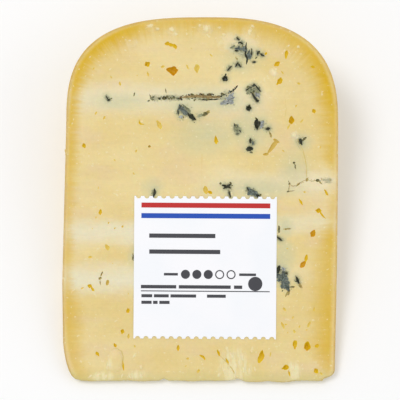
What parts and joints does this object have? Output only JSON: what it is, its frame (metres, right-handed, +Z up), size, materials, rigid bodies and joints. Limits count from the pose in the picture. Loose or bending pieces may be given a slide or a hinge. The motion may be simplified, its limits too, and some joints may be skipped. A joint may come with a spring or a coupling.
{
  "type": "blue cheese wedge",
  "caption": "Wedge of semi-hard blue cheese cut from a round wheel, lying on a cut face, with a small square paper price label on the other.",
  "frame": {"origin": "middle of the bounding box's underside, on the surface that the wedge lies on", "axes": "+Z up; +Y from the thin tip towards the thick rim; +X across the wheel's thickness, to the right as the picture shows the upper cut face"},
  "size_m": [0.0968, 0.1286, 0.0309],
  "materials": {
    "cheese_paste": "waxy semi-hard cheese, cream yellow with golden eyes and grey-green mould, deep yellow towards the rind",
    "label_paper": "smooth white label paper, printed"
  },
  "bodies": {
    "root": {"cheese": "cheese_paste", "label": "label_paper"}
  },
  "joints": []
}
